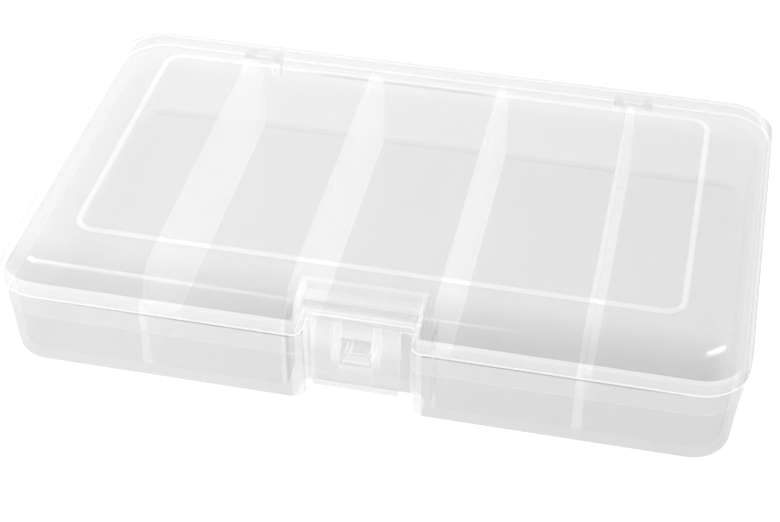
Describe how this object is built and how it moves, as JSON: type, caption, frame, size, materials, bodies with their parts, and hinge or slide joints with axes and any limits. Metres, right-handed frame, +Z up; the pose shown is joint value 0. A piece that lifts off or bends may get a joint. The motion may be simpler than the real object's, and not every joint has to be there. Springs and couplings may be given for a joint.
{
  "type": "compartment organizer box",
  "caption": "Shallow frosted plastic box with long side-by-side compartments for beads, one hinged lid over all of them and a front snap latch.",
  "frame": {"origin": "centre of the tray's flat underside, below the middle of the lid's rim", "axes": "+X along the long side to the right as seen from the latch, +Y from the latch to the hinges, +Z up"},
  "size_m": [0.175, 0.1139, 0.031],
  "materials": {
    "tray_plastic": "frosted see-through polypropylene, soft gloss",
    "lid_plastic": "frosted see-through polypropylene, soft gloss",
    "latch_plastic": "frosted see-through polypropylene, soft gloss"
  },
  "bodies": {
    "base": {"base_tray": "tray_plastic", "divider_1": "tray_plastic", "divider_2": "tray_plastic", "divider_3": "tray_plastic", "divider_4": "tray_plastic", "latch_catch": "tray_plastic", "hinge_bar_left": "tray_plastic", "hinge_bar_right": "tray_plastic"},
    "lid": {"lid_shell": "lid_plastic"},
    "latch": {"latch_tab": "latch_plastic"}
  },
  "joints": [
    {"name": "lid_open", "type": "hinge", "parent": "base", "child": "lid", "pos_m": [0, 0.05672, 0.0205], "axis": [-1, 0, 0], "range_deg": [0, 180]},
    {"name": "latch_swing", "type": "hinge", "parent": "lid", "child": "latch", "pos_m": [0, -0.0494, 0.0273], "axis": [-1, 0, 0], "range_deg": [-4, 78], "stiffness_Nm_per_rad": 0.004}
  ]
}
